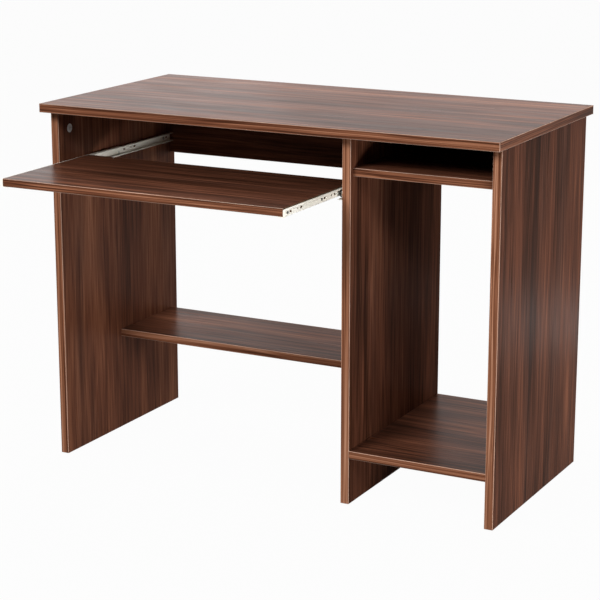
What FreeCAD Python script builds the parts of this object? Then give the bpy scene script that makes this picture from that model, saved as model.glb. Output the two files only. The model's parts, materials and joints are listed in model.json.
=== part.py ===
import FreeCAD, Part
import os
from collections import defaultdict
from types import SimpleNamespace

import Sketcher

# Computer desk of foil-faced board on three uprights, with a keyboard tray on roller slides.
# Millimetres, +Z up, +X to the user's right, the user sits on the -Y side.
# The origin is on the floor, at the middle of the desk's box with the tray pulled out.

Vector = FreeCAD.Vector
LEFT = Vector(-1, 0, 0)
RIGHT = Vector(1, 0, 0)
FRONT = Vector(0, -1, 0)
BACK = Vector(0, 1, 0)
DOWN = Vector(0, 0, -1)
UP = Vector(0, 0, 1)

# Driving dimensions
SIZES = {
    # The whole desk and its boards
    "desk_width": 1000.0,
    "desk_depth": 500.0,
    "desk_height": 750.0,
    "top_thickness": 18.0,
    "upright_thickness": 18.0,
    "shelf_thickness": 16.0,
    "back_thickness": 18.0,
    "tray_thickness": 16.0,
    # How far the top stands out past the uprights
    "side_overhang": 7.0,
    "front_overhang": 30.0,
    "back_overhang": 20.0,
    # The right bay: clear widths and heights, and the top faces of the shelves
    "bay_width": 287.0,
    "cubby_height": 62.0,
    "cubby_setback": 12.0,
    "computer_shelf_height": 110.0,
    # The left bay
    "footrest_height": 222.0,
    "footrest_depth": 217.0,
    "back_panel_height": 151.0,
    # Keyboard tray: its clear height under the top, and how far it is pulled out past the top
    "tray_drop": 102.0,
    "tray_reach": 182.0,
    # Edge bands
    "band_thickness": 2.0,
    "band_radius": 1.5,
    # Slides
    "slide_gap": 13.0,
    "rail_setback": 2.0,
    "rail_end_gap": 4.0,
    "rail_tail": 126.0,
    "rail_drop": 2.0,
    "rail_pass_gap": 0.8,
    "cabinet_rail_height": 18.0,
    "sheet_thickness": 1.2,
    "bend_radius": 0.6,
    "flange_tip_gap": 3.0,
    "tray_flange_gap": 5.0,
    "lip_depth": 10.0,
    "end_tab_inset": 3.0,
    "notch_length": 24.0,
    "hole_margin": 14.0,
    "slot_step": 14.0,
    "slot_length": 9.0,
    "slot_width": 4.4,
    "spare_hole_step": 42.0,
    # Rollers and their riveted axles
    "roller_inset": 12.0,
    "roller_gap": 0.2,
    "roller_side_play": 0.4,
    "roller_tip_inset": 1.4,
    "roller_edge": 0.8,
    "axle_diameter": 5.0,
    "axle_play": 0.08,
    "axle_end_play": 0.2,
    "axle_head_diameter": 6.8,
    "axle_head_height": 0.7,
    # Rail screws
    "screw_diameter": 3.5,
    "screw_length": 14.0,
    "screw_tip": 3.0,
    "screw_head_diameter": 6.6,
    "screw_head_height": 1.5,
    "screw_hole_play": 0.35,
    "screw_cross_length": 4.0,
    "screw_cross_width": 0.9,
    "screw_cross_depth": 1.0,
    # Cam locks, cam bolts and dowels
    "cam_diameter": 18.0,
    "cam_overreach": 4.5,
    "cam_distance": 40.0,
    "cam_inset": 40.0,
    "shelf_cam_inset": 50.0,
    "back_cam_inset": 40.0,
    "cam_bore_past": 3.5,
    "cam_cross_length": 11.0,
    "cam_cross_width": 1.8,
    "cam_cross_depth": 2.2,
    "bolt_reach": 11.0,
    "bolt_thread_diameter": 6.0,
    "bolt_collar_diameter": 7.2,
    "bolt_collar_height": 2.0,
    "bolt_shank_diameter": 5.2,
    "bolt_neck_diameter": 3.8,
    "bolt_neck_length": 3.5,
    "bolt_head_diameter": 6.8,
    "bolt_head_height": 3.5,
    "bolt_hole_diameter": 8.0,
    "dowel_diameter": 8.0,
    "dowel_length": 30.0,
    "dowel_reach": 11.0,
    "dowel_end_gap": 0.8,
    "dowel_chamfer": 1.0,
    "dowel_offset": 64.0,
    "fit_gap": 0.1,
}


class Size:
    """A length, kept both as a formula on the sheet's cells and as its present value."""

    def __init__(self, text, value):
        self.text = text
        self.value = value

    def __add__(self, other):
        other = as_size(other)
        return Size(f"({self.text} + {other.text})", self.value + other.value)

    def __sub__(self, other):
        other = as_size(other)
        return Size(f"({self.text} - {other.text})", self.value - other.value)

    def __mul__(self, factor):
        return Size(f"({self.text} * {factor})", self.value * factor)

    def __truediv__(self, divisor):
        return Size(f"({self.text} / {divisor})", self.value / divisor)

    def __neg__(self):
        return Size(f"(0 - {self.text})", -self.value)


def as_size(item):
    return item if isinstance(item, Size) else Size(repr(float(item)), float(item))


def smaller(one, other):
    return Size(f"min({one.text}; {other.text})", min(one.value, other.value))


ZERO = as_size(0)
# A rounding takes at most this share of the wall that it is on
MOST_OF_WALL = 0.8
MOST_OF_HALF_WIDTH = 0.4
SAME_PLACE = 1e-6

doc = FreeCAD.newDocument("ComputerDesk")
sheet = doc.addObject("Spreadsheet::Sheet", "Sizes")
for row, (name, number) in enumerate(SIZES.items(), 1):
    sheet.set(f"A{row}", name)
    sheet.set(f"B{row}", str(number))
    sheet.setAlias(f"B{row}", name)
doc.recompute()
dim = SimpleNamespace(**{name: Size("Sizes." + name, number) for name, number in SIZES.items()})

# Places of the boards, worked out from the driving dimensions
desk_back = (dim.desk_depth + dim.tray_reach) / 2
desk_front = desk_back - dim.desk_depth
desk_right = dim.desk_width / 2
desk_left = -desk_right
top_under = dim.desk_height - dim.top_thickness
upright_front = desk_front + dim.front_overhang
upright_back = desk_back - dim.back_overhang
left_outer = desk_left + dim.side_overhang
left_inner = left_outer + dim.upright_thickness
right_outer = desk_right - dim.side_overhang
right_inner = right_outer - dim.upright_thickness
partition_right = right_inner - dim.bay_width
partition_left = partition_right - dim.upright_thickness
knee_middle = (left_inner + partition_left) / 2
cubby_top = top_under - dim.cubby_height
cubby_front = upright_front + dim.cubby_setback
back_panel_front = upright_back - dim.back_thickness
back_panel_bottom = top_under - dim.back_panel_height
# The partition, the shelves and the footrest end in front of the back panel
inside_back = back_panel_front
footrest_front = inside_back - dim.footrest_depth

# Places of the tray and its slides
rail_front = upright_front + dim.rail_setback
rail_length = back_panel_front - dim.rail_end_gap - rail_front
tray_depth = rail_length - dim.rail_tail
tray_front = desk_front - dim.tray_reach
tray_back = tray_front + tray_depth
tray_top = top_under - dim.tray_drop
tray_bottom = tray_top - dim.tray_thickness
tray_left = left_inner + dim.slide_gap
tray_right = partition_left - dim.slide_gap
tray_rail_bottom = tray_bottom - dim.sheet_thickness
tray_rail_top = tray_top - dim.rail_drop
tray_rail_height = tray_rail_top - tray_rail_bottom
tray_rail_back = tray_front + rail_length
tray_rail_middle = tray_rail_bottom + tray_rail_height / 2
tray_flange_depth = dim.slide_gap - dim.tray_flange_gap
tray_flange_under = tray_rail_top - dim.sheet_thickness
cabinet_rail_bottom = tray_flange_under - dim.rail_pass_gap - dim.cabinet_rail_height
cabinet_rail_back = rail_front + rail_length
cabinet_rail_middle = cabinet_rail_bottom + dim.cabinet_rail_height / 2
flange_depth = dim.slide_gap - dim.flange_tip_gap
roller_diameter = dim.cabinet_rail_height - dim.sheet_thickness * 2 - dim.roller_gap * 2
roller_width = flange_depth - dim.sheet_thickness - dim.roller_side_play - dim.roller_tip_inset
front_roller_level = tray_flange_under - dim.roller_gap - roller_diameter / 2


# Helpers

parts = []
drillings = defaultdict(list)


def part(obj):
    """Counts an object as one of the desk's pieces."""
    parts.append(obj)
    return obj


def place(obj, point, rotation=None):
    if rotation:
        obj.Placement = FreeCAD.Placement(Vector(), rotation)
    for axis, size in zip("xyz", point):
        obj.setExpression("Placement.Base." + axis, size.text)
    return obj


def moved(point, direction, distance):
    """The point, moved a distance along one of the six main directions."""
    return tuple(start + distance * step if step else start for start, step in zip(point, direction))


def block(name, low, high):
    box = doc.addObject("Part::Box", name)
    for prop, start, end in zip(("Length", "Width", "Height"), low, high):
        box.setExpression(prop, (end - start).text)
    return place(box, low)


def drill(name, mouth, direction, diameter, depth):
    tool = doc.addObject("Part::Cylinder", name)
    tool.setExpression("Radius", (diameter / 2).text)
    tool.setExpression("Height", depth.text)
    return place(tool, mouth, FreeCAD.Rotation(UP, direction))


def carve(name, base, tools):
    """The base with every tool cut out of it."""
    if len(tools) > 1:
        cutter = doc.addObject("Part::MultiFuse", name + "_cutter")
        cutter.Shapes = tools
    else:
        cutter = tools[0]
    cut = doc.addObject("Part::Cut", name)
    cut.Base = base
    cut.Tool = cutter
    return cut


def mirrored(name, source):
    """The same piece on the other side of the knee bay."""
    mirror = doc.addObject("Part::Mirroring", name)
    mirror.Source = source
    mirror.Normal = RIGHT
    mirror.setExpression("Base.x", knee_middle.text)
    return mirror


def sketch_on(body, role):
    sketch = body.newObject("Sketcher::SketchObject", body.Name + "_sketch")
    plane = next(item for item in body.Origin.OriginFeatures if item.Role == role)
    sketch.AttachmentSupport = (plane, [""])
    sketch.MapMode = "FlatFace"
    return sketch


def outline(sketch, points):
    """A closed outline of straight lines whose corners are all held by the sheet."""
    corners = [Vector(across.value, along.value, 0) for across, along in points]
    count = len(points)
    for number in range(count):
        sketch.addGeometry(Part.LineSegment(corners[number], corners[(number + 1) % count]))
    for number in range(count):
        sketch.addConstraint(Sketcher.Constraint("Coincident", number, 2, (number + 1) % count, 1))
    for number, corner in enumerate(points):
        for kind, axis, size in zip(("DistanceX", "DistanceY"), (-2, -1), corner):
            if size is ZERO:
                sketch.addConstraint(Sketcher.Constraint("PointOnObject", number, 1, axis))
            else:
                hold = sketch.addConstraint(Sketcher.Constraint(kind, -1, 1, number, 1, size.value))
                sketch.setExpression(f"Constraints[{hold}]", size.text)


def pad(body, points, length):
    """Adds a prism: the outline lies on the body's XY plane and runs along its Z axis."""
    sketch = sketch_on(body, "XY_Plane")
    outline(sketch, points)
    feature = body.newObject("PartDesign::Pad", body.Name + "_pad")
    feature.Profile = sketch
    feature.setExpression("Length", length.text)
    doc.recompute()
    return feature


def turned(name, points):
    """A body turned about its Z axis from an outline of (radius, height) corners."""
    body = doc.addObject("PartDesign::Body", name)
    sketch = sketch_on(body, "XZ_Plane")
    outline(sketch, points)
    feature = body.newObject("PartDesign::Revolution", name + "_turn")
    feature.Profile = sketch
    feature.ReferenceAxis = (sketch, ["V_Axis"])
    feature.Angle = 360
    doc.recompute()
    return body


def round_edges(body, wanted, radius):
    """Rounds the edges of the body's last feature that are wanted, judged by their two ends."""
    feature = body.Tip
    names = [
        f"Edge{number}"
        for number, edge in enumerate(feature.Shape.Edges, 1)
        if wanted(edge.Vertexes[0].Point, edge.Vertexes[-1].Point)
    ]
    fillet = body.newObject("PartDesign::Fillet", body.Name + "_round")
    fillet.Base = (feature, names)
    fillet.setExpression("Radius", radius.text)
    doc.recompute()


def near(number, size):
    return abs(number - size.value) < SAME_PLACE


def band(name, corner, outward, along, height, length, free_ends=False):
    """An edge band with rounded outer edges, glued on a board's edge from the given corner."""
    body = doc.addObject("PartDesign::Body", name)
    thickness = dim.band_thickness
    pad(body, [(ZERO, ZERO), (thickness, ZERO), (thickness, height), (ZERO, height)], length)

    def wanted(first, last):
        return near(first.x, thickness) and near(last.x, thickness) and (free_ends or first.z != last.z)

    round_edges(body, wanted, smaller(dim.band_radius, thickness * MOST_OF_WALL))
    across = along.cross(outward)
    return part(place(body, corner, FreeCAD.Rotation(outward, across, along, "XYZ")))


def group(name, template, seats):
    """Several copies of one fitting, as separate solids of one piece list entry."""
    links = []
    for point, rotation in seats:
        link = doc.addObject("App::Link", name + "_copy")
        link.LinkedObject = template
        links.append(place(link, point, rotation))
    compound = doc.addObject("Part::Compound", name)
    compound.Links = links
    return part(compound)


# Knock-down fittings


def cross_recess(name, length, width, depth):
    """Two crossed slots that a screwdriver fits, in the face on the XY plane."""
    half_long = length / 2
    half_wide = width / 2
    return [
        block(name + "_slot", (-half_long, -half_wide, ZERO), (half_long, half_wide, depth)),
        block(name + "_slot", (-half_wide, -half_long, ZERO), (half_wide, half_long, depth)),
    ]


def cam_lock(name, thickness):
    """A round cam: its face is on the XY plane, and its bore takes the bolt along +X."""
    radius = dim.cam_diameter / 2
    depth = thickness / 2 + dim.cam_overreach
    body = turned(name, [(ZERO, ZERO), (radius, ZERO), (radius, depth), (ZERO, depth)])
    start = (-dim.cam_bore_past, ZERO, thickness / 2)
    bore = drill(name + "_bore", start, RIGHT, dim.bolt_hole_diameter, radius + dim.cam_bore_past)
    slots = cross_recess(name, dim.cam_cross_length, dim.cam_cross_width, dim.cam_cross_depth)
    return carve(name + "_cut", body, slots + [bore])


def cam_bolt(name):
    """A bolt that screws into one board and reaches the cam in the other. Its tip is at the origin."""
    face = dim.bolt_reach
    end = face + dim.cam_distance
    neck_end = end - dim.bolt_head_height
    neck_start = neck_end - dim.bolt_neck_length
    thread = dim.bolt_thread_diameter / 2
    collar = dim.bolt_collar_diameter / 2
    collar_end = face + dim.bolt_collar_height
    shank = dim.bolt_shank_diameter / 2
    neck = dim.bolt_neck_diameter / 2
    head = dim.bolt_head_diameter / 2
    return turned(name, [
        (ZERO, ZERO), (thread, ZERO), (thread, face), (collar, face), (collar, collar_end),
        (shank, collar_end), (shank, neck_start), (neck, neck_start), (neck, neck_end),
        (head, neck_end), (head, end), (ZERO, end),
    ])


def dowel(name):
    radius = dim.dowel_diameter / 2
    tip = radius - dim.dowel_chamfer
    shoulder = dim.dowel_length - dim.dowel_chamfer
    return turned(name, [
        (ZERO, ZERO), (tip, ZERO), (radius, dim.dowel_chamfer), (radius, shoulder),
        (tip, dim.dowel_length), (ZERO, dim.dowel_length),
    ])


bolt_template = cam_bolt("cam_bolt")
dowel_template = dowel("dowel")


def fittings(name, thickness, cam_seats, dowel_seats):
    """The cams, bolts and dowels that hold one board, with their holes in both boards.

    A seat is (point, outward, face, holder, base): the point on the joint's plane at the middle of the
    holder's thickness, the direction from the base into the holder, the holder's face that shows the cam,
    and the names of the two boards.
    """
    locks, bolts, dowels = [], [], []
    cam_depth = thickness / 2 + dim.cam_overreach + dim.fit_gap
    for point, outward, face, holder, base in cam_seats:
        mouth = moved(moved(point, outward, dim.cam_distance), face, thickness / 2)
        into = face * -1
        towards = outward * -1
        locks.append((mouth, FreeCAD.Rotation(towards, into.cross(towards), into, "XYZ")))
        bolts.append((moved(point, towards, dim.bolt_reach), FreeCAD.Rotation(UP, outward)))
        drillings[holder] += [
            drill(name + "_cam_hole", mouth, into, dim.cam_diameter + dim.fit_gap * 2, cam_depth),
            drill(name + "_bolt_hole", point, outward, dim.bolt_hole_diameter, dim.cam_distance),
        ]
        thread_hole = dim.bolt_thread_diameter + dim.fit_gap * 2
        drillings[base].append(
            drill(name + "_thread_hole", point, towards, thread_hole, dim.bolt_reach + dim.fit_gap))
    for point, outward, face, holder, base in dowel_seats:
        towards = outward * -1
        dowels.append((moved(point, towards, dim.dowel_reach), FreeCAD.Rotation(UP, outward)))
        bore = dim.dowel_diameter + dim.fit_gap * 2
        deep = dim.dowel_length - dim.dowel_reach + dim.dowel_end_gap
        drillings[holder].append(drill(name + "_dowel_hole", point, outward, bore, deep))
        drillings[base].append(
            drill(name + "_dowel_hole", point, towards, bore, dim.dowel_reach + dim.dowel_end_gap))
    group(name + "_cam_locks", cam_lock(name + "_cam_lock", thickness), locks)
    group(name + "_cam_bolts", bolt_template, bolts)
    group(name + "_dowels", dowel_template, dowels)


def top_fittings():
    """Cams inside the head of each upright, with bolts and dowels up into the top."""
    uprights = [
        ("left_side_panel", left_inner - dim.upright_thickness / 2, RIGHT, upright_back),
        ("centre_partition", partition_right - dim.upright_thickness / 2, LEFT, inside_back),
        ("right_side_panel", right_inner + dim.upright_thickness / 2, LEFT, upright_back),
    ]
    cams, dowels = [], []
    for holder, middle, face, back in uprights:
        for edge, inward in ((upright_front, 1), (back, -1)):
            cam_line = edge + dim.cam_inset * inward
            dowel_line = cam_line + dim.dowel_offset * inward
            cams.append(((middle, cam_line, top_under), DOWN, face, holder, "top_panel"))
            dowels.append(((middle, dowel_line, top_under), DOWN, face, holder, "top_panel"))
    fittings("top", dim.upright_thickness, cams, dowels)


def shelf_fittings(name, holder, front, top, left, right):
    """Cams under both ends of a shelf. left and right are (place, board) of the two uprights."""
    level = top - dim.shelf_thickness / 2
    middle = (front + inside_back) / 2
    cams, dowels = [], []
    for (side, base), outward in ((left, RIGHT), (right, LEFT)):
        for line in (front + dim.shelf_cam_inset, inside_back - dim.shelf_cam_inset):
            cams.append(((side, line, level), outward, DOWN, holder, base))
        dowels.append(((side, middle, level), outward, DOWN, holder, base))
    fittings(name, dim.shelf_thickness, cams, dowels)


def back_panel_fittings():
    """Cams in the rear face of the back panel, at both ends."""
    line = upright_back - dim.back_thickness / 2
    middle = top_under - dim.back_panel_height / 2
    levels = (back_panel_bottom + dim.back_cam_inset, top_under - dim.back_cam_inset)
    ends = ((left_inner, RIGHT, "left_side_panel"), (right_inner, LEFT, "right_side_panel"))
    cams, dowels = [], []
    for side, outward, base in ends:
        for level in levels:
            cams.append(((side, line, level), outward, BACK, "back_panel", base))
        dowels.append(((side, line, middle), outward, BACK, "back_panel", base))
    fittings("back_panel", dim.back_thickness, cams, dowels)


# Keyboard slides


def rail_marks(start, span):
    """Places along a stretch of rail, from its front: three screws, five slots and two spare holes."""
    first = start + dim.hole_margin
    middle = start + span / 2
    last = start + span - dim.hole_margin - dim.slot_step
    spares = tuple(line + dim.spare_hole_step for line in (first, middle))
    slots = tuple(line + dim.slot_step for line in (first, middle, last) + spares)
    return (first, middle, last), slots, spares


# The cabinet rail's holes start behind its roller, and the tray rail's lie along the tray
cabinet_marks = rail_marks(rail_front + dim.notch_length, rail_length - dim.notch_length)
tray_marks = rail_marks(tray_front, tray_depth)


def slot_tool(name, mouth, direction, depth):
    """A long hole that runs along the rail."""
    half = (dim.slot_length - dim.slot_width) / 2
    ends = [moved(mouth, step, half) for step in (FRONT, BACK)]
    tools = [drill(name, end, direction, dim.slot_width, depth) for end in ends]
    half_width = dim.slot_width / 2
    far = moved(mouth, direction, depth)
    low_x, high_x = (mouth[0], far[0]) if direction.x > 0 else (far[0], mouth[0])
    low = (low_x, ends[0][1], mouth[2] - half_width)
    high = (high_x, ends[1][1], mouth[2] + half_width)
    return tools + [block(name, low, high)]


def rail_holes(name, face, marks, level, direction):
    """Tools for every hole of a rail's web, from the web's open face."""
    screws, slots, spares = marks
    clear_hole = dim.screw_diameter + dim.screw_hole_play * 2
    depth = dim.sheet_thickness
    tools = [drill(name, (face, line, level), direction, clear_hole, depth) for line in screws + spares]
    for line in slots:
        tools += slot_tool(name, (face, line, level), direction, depth)
    return tools


def bend(body, corners, radius):
    """Rounds the lengthwise edges of a rail that pass through the given profile corners."""

    def wanted(first, last):
        lengthwise = first.z != last.z
        return lengthwise and any(near(first.x, x) and near(first.y, y) for x, y in corners)

    round_edges(body, wanted, radius)


def cabinet_rail():
    """The fixed rail: a channel that opens towards the tray, notched over its front roller."""
    sheet_metal = dim.sheet_thickness
    body = doc.addObject("PartDesign::Body", "cabinet_channel")
    height = dim.cabinet_rail_height
    inner_top = height - sheet_metal
    pad(body, [
        (ZERO, ZERO), (flange_depth, ZERO), (flange_depth, sheet_metal), (sheet_metal, sheet_metal),
        (sheet_metal, inner_top), (flange_depth, inner_top), (flange_depth, height), (ZERO, height),
    ], rail_length)
    bend(body, [(ZERO, ZERO), (ZERO, height)], dim.bend_radius + sheet_metal)
    bend(body, [(sheet_metal, sheet_metal), (sheet_metal, inner_top)], dim.bend_radius)
    corner = (left_inner, cabinet_rail_back, cabinet_rail_bottom)
    place(body, corner, FreeCAD.Rotation(RIGHT, UP, FRONT, "XYZ"))
    face = left_inner + sheet_metal
    tools = rail_holes("cabinet_rail_hole", face, cabinet_marks, cabinet_rail_middle, LEFT)
    tools.append(block(
        "cabinet_rail_notch",
        (face, rail_front, cabinet_rail_bottom + inner_top - dim.bend_radius),
        (left_inner + flange_depth, rail_front + dim.notch_length, cabinet_rail_bottom + height)))
    axle_mouth = (face, rail_front + dim.roller_inset, front_roller_level)
    axle_hole = dim.axle_diameter + dim.fit_gap * 2
    tools.append(drill("cabinet_axle_hole", axle_mouth, LEFT, axle_hole, sheet_metal))
    return carve("left_cabinet_rail", body, tools)


def tray_rail():
    """The moving rail: a lip under the tray's edge, a web, and a flange that runs on the front roller."""
    sheet_metal = dim.sheet_thickness
    web = dim.lip_depth
    web_face = web + sheet_metal
    tip = web + tray_flange_depth
    height = tray_rail_height
    inner_top = height - sheet_metal
    body = doc.addObject("PartDesign::Body", "tray_profile")
    pad(body, [
        (ZERO, ZERO), (web_face, ZERO), (web_face, inner_top), (tip, inner_top), (tip, height),
        (web, height), (web, sheet_metal), (ZERO, sheet_metal),
    ], rail_length)
    bend(body, [(web_face, ZERO), (web, height)], dim.bend_radius + sheet_metal)
    bend(body, [(web_face, inner_top)], dim.bend_radius)
    half_sheet = sheet_metal / 2
    tab_tip = tip - dim.end_tab_inset
    tab_top = height - half_sheet
    pad(body, [
        (web + half_sheet, half_sheet), (tab_tip, half_sheet), (tab_tip, tab_top),
        (web + half_sheet, tab_top),
    ], sheet_metal)
    corner = (tray_left + dim.lip_depth, tray_front, tray_rail_bottom)
    place(body, corner, FreeCAD.Rotation(LEFT, UP, BACK, "XYZ"))
    face = tray_left - sheet_metal
    tools = rail_holes("tray_rail_hole", face, tray_marks, tray_rail_middle, RIGHT)
    axle_mouth = (face, tray_rail_back - dim.roller_inset, cabinet_rail_middle)
    axle_hole = dim.axle_diameter + dim.fit_gap * 2
    tools.append(drill("tray_axle_hole", axle_mouth, RIGHT, axle_hole, sheet_metal))
    return carve("left_tray_rail", body, tools)


def roller(name):
    """A nylon roller that turns on its axle, along +Z from its inner side."""
    bore = dim.axle_diameter / 2 + dim.axle_play
    rim = roller_diameter / 2
    body = turned(name, [(bore, ZERO), (rim, ZERO), (rim, roller_width), (bore, roller_width)])

    def on_rim(first, last):
        return near(Vector(first.x, first.y, 0).Length, rim) and first.z == last.z

    round_edges(body, on_rim, smaller(dim.roller_edge, roller_width * MOST_OF_HALF_WIDTH))
    return body


def axle(name):
    """A riveted axle: it starts at the back of the web and ends in a head outside the roller."""
    shaft = dim.axle_diameter / 2
    head = dim.axle_head_diameter / 2
    shoulder = dim.sheet_thickness + dim.roller_side_play + roller_width + dim.axle_end_play
    end = shoulder + dim.axle_head_height
    return turned(name, [
        (ZERO, ZERO), (shaft, ZERO), (shaft, shoulder), (head, shoulder), (head, end), (ZERO, end),
    ])


def rail_screw(name):
    """A cross-head screw that drives along +Z, with the top of its head on the XY plane."""
    head = dim.screw_head_diameter / 2
    shank = dim.screw_diameter / 2
    neck = dim.screw_head_height
    end = neck + dim.screw_length
    body = turned(name, [
        (ZERO, ZERO), (head, ZERO), (head, neck), (shank, neck), (shank, end - dim.screw_tip), (ZERO, end),
    ])
    slots = cross_recess(name, dim.screw_cross_length, dim.screw_cross_width, dim.screw_cross_depth)
    return carve(name + "_cut", body, slots)


def slide_hardware():
    """Both slides: rails, rollers, axles and screws."""
    part(mirrored("right_cabinet_rail", part(cabinet_rail())))
    part(mirrored("right_tray_rail", part(tray_rail())))

    to_right = FreeCAD.Rotation(UP, RIGHT)
    to_left = FreeCAD.Rotation(UP, LEFT)
    cabinet_face = left_inner + dim.sheet_thickness
    tray_face = tray_left - dim.sheet_thickness
    front_line = rail_front + dim.roller_inset
    rear_line = tray_rail_back - dim.roller_inset

    front = part(roller("left_front_roller"))
    place(front, (cabinet_face + dim.roller_side_play, front_line, front_roller_level), to_right)
    part(mirrored("right_front_roller", front))
    rear = part(roller("left_rear_roller"))
    place(rear, (tray_face - dim.roller_side_play, rear_line, cabinet_rail_middle), to_left)
    part(mirrored("right_rear_roller", rear))

    axle_template = axle("roller_axle")
    group("cabinet_roller_axles", axle_template, [
        ((left_inner, front_line, front_roller_level), to_right),
        ((partition_left, front_line, front_roller_level), to_left),
    ])
    group("tray_roller_axles", axle_template, [
        ((tray_left, rear_line, cabinet_rail_middle), to_left),
        ((tray_right, rear_line, cabinet_rail_middle), to_right),
    ])

    screw_template = rail_screw("rail_screw")
    sides = [
        ("cabinet", cabinet_marks, cabinet_rail_middle, left_inner, "left_side_panel", LEFT),
        ("cabinet", cabinet_marks, cabinet_rail_middle, partition_left, "centre_partition", RIGHT),
        ("tray", tray_marks, tray_rail_middle, tray_left, "keyboard_tray", RIGHT),
        ("tray", tray_marks, tray_rail_middle, tray_right, "keyboard_tray", LEFT),
    ]
    seats = defaultdict(list)
    proud = dim.sheet_thickness + dim.screw_head_height
    pilot = dim.screw_diameter + dim.fit_gap * 2
    pilot_depth = dim.screw_length - dim.sheet_thickness + dim.fit_gap
    for rail, (screws, slots, spares), level, face, board_name, inward in sides:
        outward = inward * -1
        for line in screws:
            point = (face, line, level)
            seats[rail].append((moved(point, outward, proud), FreeCAD.Rotation(UP, inward)))
            drillings[board_name].append(drill("screw_pilot", point, inward, pilot, pilot_depth))
    for rail, places in seats.items():
        group(rail + "_rail_screws", screw_template, places)


# Boards and their bands


def board(name, low, high):
    core = block(name + "_core", low, high)
    return part(carve(name, core, drillings[name]))


def top():
    skin = dim.band_thickness
    low = (desk_left + skin, desk_front + skin, top_under)
    high = (desk_right - skin, desk_back - skin, dim.desk_height)
    board("top_panel", low, high)
    thick = dim.top_thickness
    depth = dim.desk_depth - skin * 2
    upper = dim.desk_height
    front_line, back_line = low[1], high[1]
    band("top_front_band", (desk_left, front_line, upper), FRONT, RIGHT, thick, dim.desk_width, True)
    band("top_back_band", (desk_right, back_line, upper), BACK, LEFT, thick, dim.desk_width, True)
    band("top_left_band", (low[0], back_line, upper), LEFT, FRONT, thick, depth)
    band("top_right_band", (high[0], front_line, upper), RIGHT, BACK, thick, depth)


def upright(name, left_face, right_face, back):
    skin = dim.band_thickness
    front_line = upright_front + skin
    back_line = back - skin
    board(name, (left_face, front_line, ZERO), (right_face, back_line, top_under))
    thick = dim.upright_thickness
    band(name + "_front_band", (left_face, front_line, ZERO), FRONT, UP, thick, top_under)
    band(name + "_back_band", (right_face, back_line, ZERO), BACK, UP, thick, top_under)


def level_board(name, left_end, right_end, front, back, upper, thick):
    """A shelf or tray between two ends, banded along its front and back edges."""
    skin = dim.band_thickness
    front_line = front + skin
    back_line = back - skin
    board(name, (left_end, front_line, upper - thick), (right_end, back_line, upper))
    length = right_end - left_end
    band(name + "_front_band", (left_end, front_line, upper), FRONT, RIGHT, thick, length)
    band(name + "_back_band", (right_end, back_line, upper), BACK, LEFT, thick, length)


def back_panel():
    """A panel under the top, between the two sides and behind the partition."""
    skin = dim.band_thickness
    edge = back_panel_bottom + skin
    board("back_panel", (left_inner, back_panel_front, edge), (right_inner, upright_back, top_under))
    length = right_inner - left_inner
    band("back_panel_band", (left_inner, back_panel_front, edge), DOWN, RIGHT, dim.back_thickness, length)


left_side = (left_inner, "left_side_panel")
partition_sides = ((partition_left, "centre_partition"), (partition_right, "centre_partition"))
right_side = (right_inner, "right_side_panel")
computer_top = dim.computer_shelf_height
footrest_top = dim.footrest_height
top_fittings()
shelf_fittings("cubby", "cubby_shelf", cubby_front, cubby_top, partition_sides[1], right_side)
shelf_fittings("computer", "computer_shelf", upright_front, computer_top, partition_sides[1], right_side)
shelf_fittings("footrest", "footrest_shelf", footrest_front, footrest_top, left_side, partition_sides[0])
back_panel_fittings()
slide_hardware()

top()
upright("left_side_panel", left_outer, left_inner, upright_back)
upright("centre_partition", partition_left, partition_right, inside_back)
upright("right_side_panel", right_inner, right_outer, upright_back)
back_panel()
bay = (partition_right, right_inner)
shelf = dim.shelf_thickness
level_board("cubby_shelf", *bay, cubby_front, inside_back, cubby_top, shelf)
level_board("computer_shelf", *bay, upright_front, inside_back, computer_top, shelf)
level_board("footrest_shelf", left_inner, partition_left, footrest_front, inside_back, footrest_top, shelf)
level_board("keyboard_tray", tray_left, tray_right, tray_front, tray_back, tray_top, dim.tray_thickness)
doc.recompute()

# Check and write
for obj in doc.Objects:
    if "Invalid" in obj.State or "Error" in obj.State:
        raise RuntimeError(f"{obj.Label} failed: {obj.State}")
for obj in parts:
    if obj.Shape.isNull() or not obj.Shape.isValid():
        raise RuntimeError(f"{obj.Label} has no valid shape")
os.makedirs("parts", exist_ok=True)
for obj in parts:
    obj.Shape.exportStep(os.path.join("parts", obj.Label + ".step"))
print(len(parts), "pieces,", sum(len(obj.Shape.Solids) for obj in parts), "solids")
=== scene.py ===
import json
import math

import bpy
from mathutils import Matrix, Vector


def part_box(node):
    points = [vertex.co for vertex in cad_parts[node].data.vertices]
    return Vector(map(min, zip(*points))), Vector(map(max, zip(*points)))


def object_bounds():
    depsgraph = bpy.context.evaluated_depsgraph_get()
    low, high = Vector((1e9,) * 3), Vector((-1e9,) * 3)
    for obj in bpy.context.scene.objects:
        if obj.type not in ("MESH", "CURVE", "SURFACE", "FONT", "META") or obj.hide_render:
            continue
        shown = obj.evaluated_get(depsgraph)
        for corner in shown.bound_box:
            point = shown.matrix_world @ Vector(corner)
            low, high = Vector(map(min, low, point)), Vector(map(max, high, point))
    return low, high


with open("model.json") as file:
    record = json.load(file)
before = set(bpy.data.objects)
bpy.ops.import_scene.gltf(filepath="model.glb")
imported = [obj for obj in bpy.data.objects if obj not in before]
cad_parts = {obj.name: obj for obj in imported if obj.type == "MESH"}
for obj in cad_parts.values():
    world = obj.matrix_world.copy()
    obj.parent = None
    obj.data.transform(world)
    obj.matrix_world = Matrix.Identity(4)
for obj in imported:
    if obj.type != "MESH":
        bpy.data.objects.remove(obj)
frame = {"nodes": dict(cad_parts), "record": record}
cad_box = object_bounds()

# Looks of the computer desk: walnut foil on the boards, striped edge bands, cream slides and metal fittings.
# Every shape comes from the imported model. This file adds the finishes, the floor, the light and the camera.

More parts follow.
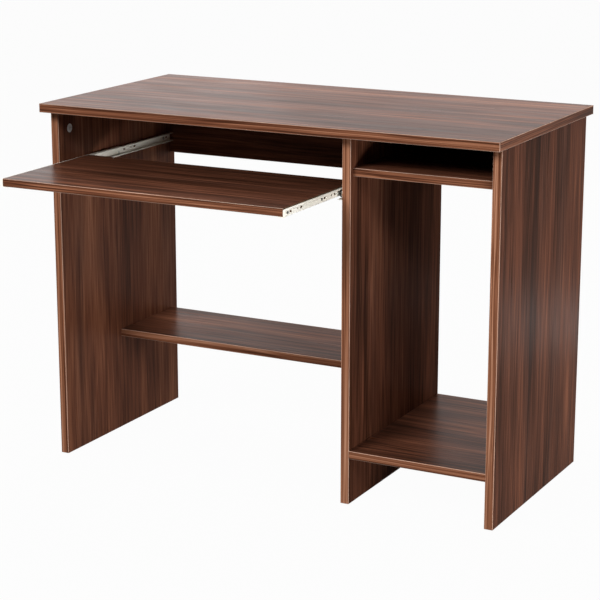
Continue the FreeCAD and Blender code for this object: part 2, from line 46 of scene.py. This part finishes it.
# Places in a vector
X = 0
Z = 2

# Looks of the walnut print. Each layer of streaks gives its share of the tone, then its features per metre
# along and across the grain. The tone uses the part of the summed noise in spread, and patches whose noise
# lies in cool go over to the cooler brown.
UPRIGHT = {
    "streaks": (
        (0.34, 0.6, 5.0),
        (0.14, 1.4, 22.0),
        (0.15, 2.6, 55.0),
        (0.17, 4.0, 130.0),
        (0.20, 9.0, 420.0),
    ),
    "spread": (0.335, 0.665),
    "cool": (0.54, 0.78),
    "gloss": 0.006,
}
LEVEL = {
    "streaks": (
        (0.18, 0.5, 5.0),
        (0.12, 0.8, 22.0),
        (0.16, 1.4, 55.0),
        (0.24, 2.4, 130.0),
        (0.30, 6.0, 420.0),
    ),
    "spread": (0.348, 0.652),
    "cool": (0.58, 0.84),
    "gloss": 0.046,
}
BAND = {
    "streaks": (
        (0.40, 1.0, 190.0),
        (0.40, 2.0, 420.0),
        (0.20, 6.0, 900.0),
    ),
    "spread": (0.33, 0.67),
    "gloss": 0.018,
}

# Painted light and shade: boards and bands printed lighter than the rest, or darker where the number is
# negative, to set how lit each piece looks
PAINTED_LIGHT_AND_SHADE = {
    "left_side_panel": 0.12,
    "centre_partition": -0.05,
    "right_side_panel": -0.2,
    "computer_shelf": -0.06,
    "keyboard_tray": -0.18,
    "top_front_band": -0.19,
    "top_right_band": -0.14,
    "right_side_panel_front_band": 0.1,
    "centre_partition_front_band": 0.12,
    "keyboard_tray_front_band": -0.2,
    "cubby_shelf_front_band": -0.08,
    "computer_shelf_front_band": 0.03,
}

# Boards that shine more or less than others of their kind
GLOSS = {
    "left_side_panel": 0.015,
    "centre_partition": 0.001,
    "footrest_shelf": 0.026,
    "computer_shelf": 0.042,
    "keyboard_tray": 0.06,
}

# Seeds of the noise: the first piece's, the steps to the next piece and to the next layer of streaks, and
# what is added for each other pattern
FIRST_SEED = 83.3
PIECE_STEP = 3.7
LAYER_STEP = 7.3
DRIFT_SEED = 40.0
WEAR_AND_HIGHLIGHT_SEED = 50.0
COOL_SEED = 60.0
PORE_SEED = 80.0
SHEEN_SEED = 90.0

# Patterns that follow the grain, in features per metre along it and across it
DRIFT = (1.6, 5.0, 5.0)
WEAR_AND_HIGHLIGHT_PATCHES = (14.0, 200.0, 200.0)
COOL_PATCHES = (0.9, 14.0, 14.0)
PORES = (45.0, 2400.0, 2400.0)
SHEEN_PATCHES = (6.0, 60.0, 60.0)

# Features per metre of the raw board core
CHIPS = 420.0
DUST = 900.0

WANDER = 0.011              # metres that the grain strays to each side
PORE_LIMITS = (0.62, 0.74)  # noise at which pores begin and are full
PORE_SHARE = 0.45           # how far a pore takes the print to its own brown
MOST = (0.3, 0.7)           # where most values of a noise lie
FLAT = 0.99                 # largest part of a flat face's normal
ROUNDED = 0.8               # the same well inside a rounded edge
CUT_LIMIT = 0.5             # part of the normal along a board's thickness, below which a face is a cut edge
BUMP_DEPTH = 0.0002         # metres
METAL_UNEVEN = 0.08         # roughness of metal to each side of its mean

# Sockets of the Mix node that carry colours
COLOUR_ONE = 6
COLOUR_OTHER = 7
COLOUR_RESULT = 2


def rgb(red, green, blue):
    """A screen colour from 0 to 255 as the linear colour that Blender takes, by the sRGB curve."""

    def linear(part):
        part /= 255
        return part / 12.92 if part <= 0.04045 else ((part + 0.055) / 1.055) ** 2.4

    return linear(red), linear(green), linear(blue), 1.0


# Colours from the darkest streaks to the lightest
WARM_WALNUT = (
    (0.0, rgb(38, 21, 13)),
    (0.22, rgb(56, 32, 21)),
    (0.42, rgb(84, 50, 36)),
    (0.58, rgb(106, 64, 46)),
    (0.78, rgb(136, 87, 63)),
    (1.0, rgb(166, 112, 83)),
)
COOL_WALNUT = (
    (0.0, rgb(32, 20, 15)),
    (0.22, rgb(46, 29, 23)),
    (0.5, rgb(78, 50, 39)),
    (0.78, rgb(112, 76, 60)),
    (1.0, rgb(142, 100, 80)),
)
BAND_WALNUT = (
    (0.0, rgb(54, 30, 19)),
    (0.22, rgb(80, 46, 31)),
    (0.42, rgb(109, 67, 47)),
    (0.58, rgb(134, 87, 63)),
    (0.78, rgb(162, 114, 88)),
    (1.0, rgb(188, 142, 116)),
)
# Raw board core, darkened below its pale tan as painted shade for the holes it shows in
CHIPBOARD_WITH_PAINTED_SHADE = (
    (0.2, rgb(58, 40, 28)),
    (0.55, rgb(90, 66, 46)),
    (0.85, rgb(114, 88, 62)),
)
BEECH = (
    (0.3, rgb(172, 128, 84)),
    (0.7, rgb(214, 174, 126)),
)
PORE_BROWN = rgb(34, 20, 15)
WEAR_AND_HIGHLIGHT_BAND = rgb(222, 190, 170)
WHITE = (1.0, 1.0, 1.0, 1.0)


class Finish:
    """A material in the making: one Principled shader and the nodes that feed it."""

    def __init__(self, name, **shine):
        self.material = bpy.data.materials.new(name)
        self.material.use_nodes = True
        self.tree = self.material.node_tree
        self.tree.nodes.clear()
        looks = {key.replace("_", " "): value for key, value in shine.items()}
        self.shader = self.add("ShaderNodeBsdfPrincipled", looks)
        self.output = self.add("ShaderNodeOutputMaterial", {"Surface": self.shader.outputs["BSDF"]})
        where = self.add("ShaderNodeTexCoord")
        self.place = where.outputs["Object"]
        self.normal = where.outputs["Normal"]

    def feed(self, node, key, value):
        """Sets an input to a value, or links it to a socket."""
        if isinstance(value, bpy.types.NodeSocket):
            self.tree.links.new(value, node.inputs[key])
        else:
            node.inputs[key].default_value = value

    def add(self, kind, inputs=None, **settings):
        node = self.tree.nodes.new(kind)
        for key, value in settings.items():
            setattr(node, key, value)
        for key, value in (inputs or {}).items():
            self.feed(node, key, value)
        return node

    def math(self, operation, *values):
        return self.add("ShaderNodeMath", dict(enumerate(values)), operation=operation).outputs[0]

    def vector(self, operation, *values):
        return self.add("ShaderNodeVectorMath", dict(enumerate(values)), operation=operation).outputs[0]

    def split(self, vector):
        return self.add("ShaderNodeSeparateXYZ", {"Vector": vector}).outputs

    def spread(self, value, low, high, start=0.0, end=1.0):
        """Stretches low to high out to start to end, and holds it there."""
        limits = {"From Min": low, "From Max": high, "To Min": start, "To Max": end}
        return self.add("ShaderNodeMapRange", {"Value": value, **limits}).outputs["Result"]

    def mix(self, share, one, other):
        """One colour going over to another."""
        inputs = {"Factor": share, COLOUR_ONE: one, COLOUR_OTHER: other}
        return self.add("ShaderNodeMix", inputs, data_type="RGBA").outputs[COLOUR_RESULT]

    def ramp(self, value, stops):
        """Colours along a value. stops are (place, colour)."""
        node = self.add("ShaderNodeValToRGB", {"Fac": value})
        points = node.color_ramp.elements
        while len(points) < len(stops):
            points.new(0.5)
        for point, (place, colour) in zip(points, stops):
            point.position = place
            point.color = colour
        return node.outputs["Color"]

    def noise(self, place, stretch, seed, detail=2.0):
        """Smooth noise with stretch features per metre, one number or one for each axis."""
        sizes = stretch if isinstance(stretch, tuple) else (stretch,) * 3
        drawn = self.vector("MULTIPLY", place, sizes)
        inputs = {"Vector": drawn, "W": seed, "Scale": 1.0, "Detail": detail}
        return self.add("ShaderNodeTexNoise", inputs, noise_dimensions="4D").outputs["Fac"]

    def corner_share(self, most=1.0):
        """0 on flat faces, rising to most inside a rounded edge."""
        parts = [self.math("ABSOLUTE", part) for part in self.split(self.normal)]
        largest = self.math("MAXIMUM", self.math("MAXIMUM", parts[0], parts[1]), parts[2])
        return self.spread(largest, FLAT, ROUNDED, end=most)

    def colour(self, colour):
        self.feed(self.shader, "Base Color", colour)

    def roughness(self, noise, low, high):
        """Roughness from low to high after a noise."""
        self.feed(self.shader, "Roughness", self.spread(noise, *MOST, low, high))

    def bump(self, height, strength, depth=BUMP_DEPTH):
        node = self.add("ShaderNodeBump", {"Height": height, "Strength": strength, "Distance": depth})
        self.feed(self.shader, "Normal", node.outputs["Normal"])


def sides(node):
    """Lengths of a node's box along the three axes."""
    low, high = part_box(node)
    return [high[axis] - low[axis] for axis in range(3)]


def along_grain(finish, grain, seed):
    """The place on a piece with the grain's axis first, and the grain wandering a little sideways."""
    parts = finish.split(finish.place)
    order = [grain] + [axis for axis in range(3) if axis != grain]
    turned = {new: parts[old] for new, old in enumerate(order)}
    straight = finish.add("ShaderNodeCombineXYZ", turned).outputs[0]
    drift = finish.noise(straight, DRIFT, seed + DRIFT_SEED)
    aside = finish.spread(drift, low=0.0, high=1.0, start=-WANDER, end=WANDER)
    shift = finish.add("ShaderNodeCombineXYZ", {1: aside, 2: aside}).outputs[0]
    return finish.vector("ADD", straight, shift)


def print_tone(finish, node, place, look, seed):
    """How light the print is: streaks of several widths laid over each other, plus the painted light and
    shade of the piece.
    """
    total = 0.0
    for number, (share, along, across) in enumerate(look["streaks"]):
        streak = finish.noise(place, (along, across, across), seed + number * LAYER_STEP, detail=1.0)
        total = finish.math("MULTIPLY_ADD", streak, share, total)
    return finish.math("ADD", finish.spread(total, *look["spread"]), PAINTED_LIGHT_AND_SHADE.get(node, 0.0))


def core_with_painted_shade(finish, seed):
    """Colour of the raw board core, which shows in holes and on the edges that have no band, darkened below
    its pale tan as painted shade for the holes.
    """
    chips = finish.add("ShaderNodeTexVoronoi", {"Vector": finish.place, "Scale": CHIPS})
    dust = finish.noise(finish.place, DUST, seed)
    value = finish.math("ADD", finish.split(chips.outputs["Color"])[0], dust)
    return finish.ramp(finish.math("MULTIPLY", value, 0.5), CHIPBOARD_WITH_PAINTED_SHADE)


def walnut_board(node, seed):
    """Printed walnut foil on the two faces of a board, and the raw board core on its cut edges, darkened as
    painted shade.
    """
    spans = sides(node)
    thickness = spans.index(min(spans))
    grain = Z if thickness == X else X
    look = LEVEL if thickness == Z else UPRIGHT
    finish = Finish("walnut_foil." + node, Specular_IOR_Level=GLOSS.get(node, look["gloss"]))
    place = along_grain(finish, grain, seed)
    tone = print_tone(finish, node, place, look, seed)
    cool = finish.spread(finish.noise(place, COOL_PATCHES, seed + COOL_SEED), *look["cool"])
    colour = finish.mix(cool, finish.ramp(tone, WARM_WALNUT), finish.ramp(tone, COOL_WALNUT))
    pores = finish.spread(finish.noise(place, PORES, seed + PORE_SEED, detail=1.0), *PORE_LIMITS)
    colour = finish.mix(finish.math("MULTIPLY", pores, PORE_SHARE), colour, PORE_BROWN)
    facing = finish.math("ABSOLUTE", finish.split(finish.normal)[thickness])
    cut = finish.math("LESS_THAN", facing, CUT_LIMIT)
    finish.colour(finish.mix(cut, colour, core_with_painted_shade(finish, seed)))
    sheen = finish.noise(place, SHEEN_PATCHES, seed + SHEEN_SEED, detail=3.0)
    finish.roughness(sheen, low=0.27, high=0.37)
    finish.bump(finish.math("SUBTRACT", tone, pores), strength=0.12)
    return finish.material


def walnut_edge(node, seed):
    """A lighter band with stripes along its length, paler where its edges are rounded: partly wear, partly a
    painted highlight.
    """
    spans = sides(node)
    finish = Finish("walnut_band." + node, Specular_IOR_Level=BAND["gloss"])
    place = along_grain(finish, spans.index(max(spans)), seed)
    tone = print_tone(finish, node, place, BAND, seed)
    wear_and_highlight_noise = finish.noise(place, WEAR_AND_HIGHLIGHT_PATCHES, seed + WEAR_AND_HIGHLIGHT_SEED, detail=3.0)
    # Paler rounded edges, broken up by noise: partly wear, partly a painted highlight
    wear_and_highlight = finish.math("MULTIPLY", finish.corner_share(), finish.spread(wear_and_highlight_noise, *MOST, start=0.4, end=0.8))
    finish.colour(finish.mix(wear_and_highlight, finish.ramp(tone, BAND_WALNUT), WEAR_AND_HIGHLIGHT_BAND))
    finish.roughness(wear_and_highlight_noise, low=0.28, high=0.4)
    finish.bump(tone, strength=0.1)
    return finish.material


def cream_enamel(name):
    """Baked enamel on the slides, a little uneven, scuffed in places, and paler along its rounded edges as a
    painted highlight.
    """
    finish = Finish(name, Specular_IOR_Level=0.45)
    cloud = finish.noise(finish.place, stretch=18.0, seed=3.0, detail=3.0)
    colour = finish.mix(finish.spread(cloud, *MOST), rgb(242, 236, 221), rgb(250, 247, 238))
    scuff = finish.noise(finish.place, stretch=(260.0, 40.0, 260.0), seed=5.0, detail=4.0)
    scuffed = finish.spread(scuff, low=0.62, high=0.7, end=0.35)
    colour = finish.mix(scuffed, colour, rgb(176, 166, 146))
    # Paler rounded edges: a painted highlight
    finish.colour(finish.mix(finish.corner_share(most=0.4), colour, rgb(248, 245, 236)))
    finish.roughness(cloud, low=0.3, high=0.42)
    finish.bump(finish.noise(finish.place, stretch=1400.0, seed=9.0), strength=0.06)
    return finish.material


def moulded_nylon(name):
    """Dark moulded nylon with a fine grain."""
    finish = Finish(name, Specular_IOR_Level=0.4)
    cloud = finish.noise(finish.place, stretch=220.0, seed=4.0, detail=3.0)
    finish.colour(finish.mix(cloud, rgb(38, 34, 31), rgb(62, 56, 51)))
    finish.roughness(cloud, low=0.4, high=0.55)
    finish.bump(finish.noise(finish.place, stretch=2600.0, seed=6.0), strength=0.08, depth=BUMP_DEPTH / 2)
    return finish.material


def mottled_metal(name, dark, light, roughness, scale, metallic):
    """Plated or cast metal with a mottled surface, lighter along its rounded edges."""
    finish = Finish(name, Metallic=metallic)
    cloud = finish.noise(finish.place, scale, seed=2.0, detail=4.0)
    colour = finish.mix(finish.spread(cloud, low=0.32, high=0.68), dark, light)
    finish.colour(finish.mix(finish.corner_share(most=0.5), colour, light))
    finish.roughness(cloud, low=roughness - METAL_UNEVEN, high=roughness + METAL_UNEVEN)
    finish.bump(finish.noise(finish.place, scale * 5, seed=8.0), strength=0.12)
    return finish.material


def bare_beech(name):
    """Bare beech with short flecks."""
    finish = Finish(name, Specular_IOR_Level=0.2)
    fleck = finish.noise(finish.place, stretch=700.0, seed=1.0, detail=3.0)
    finish.colour(finish.ramp(fleck, BEECH))
    finish.roughness(fleck, low=0.6, high=0.75)
    finish.bump(fleck, strength=0.2)
    return finish.material


# Finishes of the CAD nodes: each board and band has its own print, and the fittings share theirs
PRINTED = {"walnut_board": walnut_board, "walnut_edge": walnut_edge}
SHARED = {
    "cream_rail": cream_enamel("cream_enamel"),
    "roller_nylon": moulded_nylon("dark_nylon"),
    "plated_steel": mottled_metal(
        "zinc_plating", rgb(150, 150, 146), rgb(196, 196, 190), roughness=0.32, scale=300.0, metallic=1.0
    ),
    "zinc_casting": mottled_metal(
        "zinc_casting", rgb(204, 204, 202), rgb(230, 230, 227), roughness=0.5, scale=420.0, metallic=0.05
    ),
    "beech_dowel": bare_beech("bare_beech"),
}
for number, subpart in enumerate(frame["record"]["subparts"]):
    node = subpart["node"]
    slot = subpart["material_slot"]
    if slot in PRINTED:
        material = PRINTED[slot](node, FIRST_SEED + number * PIECE_STEP)
    else:
        material = SHARED[slot]
    frame["nodes"][node].material_slots[0].material = material


# Floor and background
FLOOR_SIZE = 60.0
FLOOR_GREY = (0.28, 0.28, 0.28, 1.0)  # for the light that the floor sends back up
FLOOR_WHITE = 0.972                   # share of plain white in the floor as seen, the rest shows the shadow
SKY_WHITE = 0.976
AMBIENT = 0.026


def seen_directly(tree):
    """1 for rays from the camera and for those by way of a mirror or glass, else 0."""
    rays = tree.nodes.new("ShaderNodeLightPath").outputs
    total = rays["Is Camera Ray"]
    for kind in ("Is Glossy Ray", "Is Transmission Ray"):
        either = tree.nodes.new("ShaderNodeMath")
        either.operation = "MAXIMUM"
        tree.links.new(total, either.inputs[0])
        tree.links.new(rays[kind], either.inputs[1])
        total = either.outputs[0]
    return total


bpy.ops.mesh.primitive_plane_add(size=FLOOR_SIZE)
floor = bpy.context.object
floor.name = "floor"
paper = Finish("pale_floor", Base_Color=FLOOR_GREY, Roughness=0.9, Specular_IOR_Level=0.0)
glow = paper.add("ShaderNodeEmission", {"Color": WHITE, "Strength": 1.0})
share = paper.math("MULTIPLY", seen_directly(paper.tree), FLOOR_WHITE)
white = paper.add("ShaderNodeMixShader", {0: share, 1: paper.shader.outputs["BSDF"], 2: glow.outputs[0]})
paper.feed(paper.output, "Surface", white.outputs[0])
floor.data.materials.append(paper.material)

world = bpy.data.worlds.new("white_studio")
bpy.context.scene.world = world
world.use_nodes = True
sky = world.node_tree
level = sky.nodes.new("ShaderNodeMapRange")
sky.links.new(seen_directly(sky), level.inputs["Value"])
level.inputs["To Min"].default_value = AMBIENT
level.inputs["To Max"].default_value = SKY_WHITE
background = sky.nodes["Background"]
background.inputs["Color"].default_value = WHITE
sky.links.new(level.outputs["Result"], background.inputs["Strength"])


# Lamps
LAMPS = (
    # name, degrees to the right of the desk's front, degrees up, metres away, width, length, brightness
    ("front_light", -20.0, 35.0, 4.0, 1.8, 1.2, 0.84),
    ("floor_light", 69.0, -5.0, 3.0, 0.9, 0.22, 0.44),
    ("side_light", 52.0, 32.0, 4.0, 1.6, 0.5, 0.27),
    ("low_back_light", 112.0, 4.0, 4.0, 0.9, 0.3, 0.2),
    ("back_light", 190.0, 52.0, 4.0, 2.4, 2.4, 0.6),
    ("top_light", 0.0, 85.0, 4.0, 2.4, 2.4, 0.1),
    ("rim_light", 226.0, 12.0, 4.0, 2.4, 1.4, 0.035),
    ("left_light", 275.0, -4.0, 4.0, 1.6, 0.2, 0.15),
    ("sheen_light", 147.0, -13.5, 1.42, 1.0, 0.16, 0.072),
)


def softbox(name, turn, height, away, width, length, brightness):
    """A lamp panel that looks at the middle of the desk. A white board facing it has its brightness."""
    turn = math.radians(turn)
    height = math.radians(height)
    flat = math.cos(height)
    towards = Vector((math.sin(turn) * flat, -math.cos(turn) * flat, math.sin(height)))
    lamp = bpy.data.lights.new(name, "AREA")
    lamp.shape = "RECTANGLE"
    lamp.size = width
    lamp.size_y = length
    lamp.energy = brightness * (math.pi * away) ** 2
    box = bpy.data.objects.new(name, lamp)
    box.location = (cad_box[0] + cad_box[1]) / 2 + towards * away
    box.rotation_euler = towards.to_track_quat("Z", "Y").to_euler()
    bpy.context.scene.collection.objects.link(box)


for lamp_values in LAMPS:
    softbox(*lamp_values)


# Camera, fitted to corners of the desk in the photograph
CAMERA_PLACE = (1.7627, -3.3288, 1.3319)
CAMERA_TILT = 75.583   # degrees up from looking straight down
CAMERA_TURN = 27.733   # degrees to the right of the desk's front
SENSOR_WIDTH = 36.0    # millimetres
FOCAL_LENGTH = 115.28  # millimetres

lens = bpy.data.cameras.new("camera")
lens.sensor_width = SENSOR_WIDTH
lens.lens = FOCAL_LENGTH
camera = bpy.data.objects.new("camera", lens)
camera.location = CAMERA_PLACE
camera.rotation_euler = (math.radians(CAMERA_TILT), 0.0, math.radians(CAMERA_TURN))
bpy.context.scene.collection.objects.link(camera)
bpy.context.scene.camera = camera
bpy.context.scene.view_settings.view_transform = "Standard"
